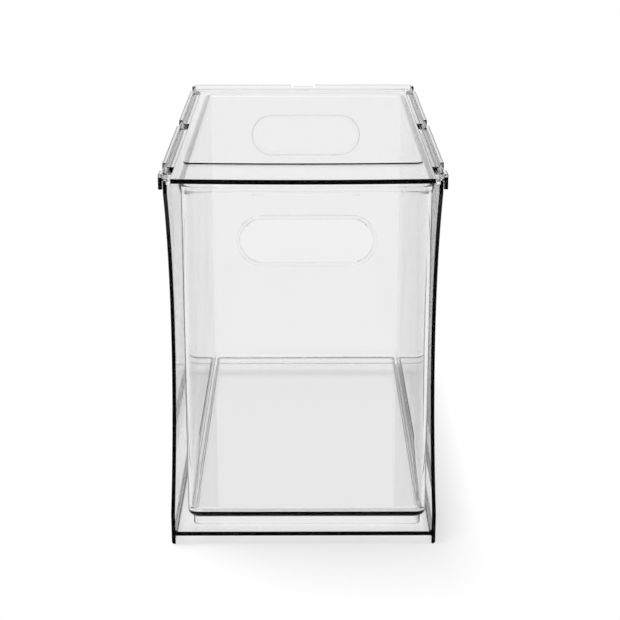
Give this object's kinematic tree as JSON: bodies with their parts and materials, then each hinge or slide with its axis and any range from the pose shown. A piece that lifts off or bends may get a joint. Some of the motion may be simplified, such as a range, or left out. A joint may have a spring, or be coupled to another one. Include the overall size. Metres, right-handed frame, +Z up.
{
  "type": "storage drawer unit",
  "caption": "Clear stackable storage drawer unit: an open-fronted case with a clipped cover and a pull-out bin with hand-holes.",
  "frame": {"origin": "on the surface the unit stands on, under the middle of its bounding box", "axes": "+Z up, the open front with the bin faces -Y, and +X is on the right as seen from the front"},
  "size_m": [0.21, 0.4, 0.2902],
  "materials": {
    "case_plastic": "clear, glossy moulded plastic",
    "cover_plastic": "clear, glossy moulded plastic",
    "bin_plastic": "clear, glossy moulded plastic"
  },
  "bodies": {
    "case": {"outer_shell": "case_plastic", "top_cover": "cover_plastic"},
    "drawer": {"drawer_bin": "bin_plastic"}
  },
  "joints": [
    {"name": "drawer_slide", "type": "slide", "parent": "case", "child": "drawer", "axis": [0, -1, 0], "range_m": [0, 0.3]}
  ]
}
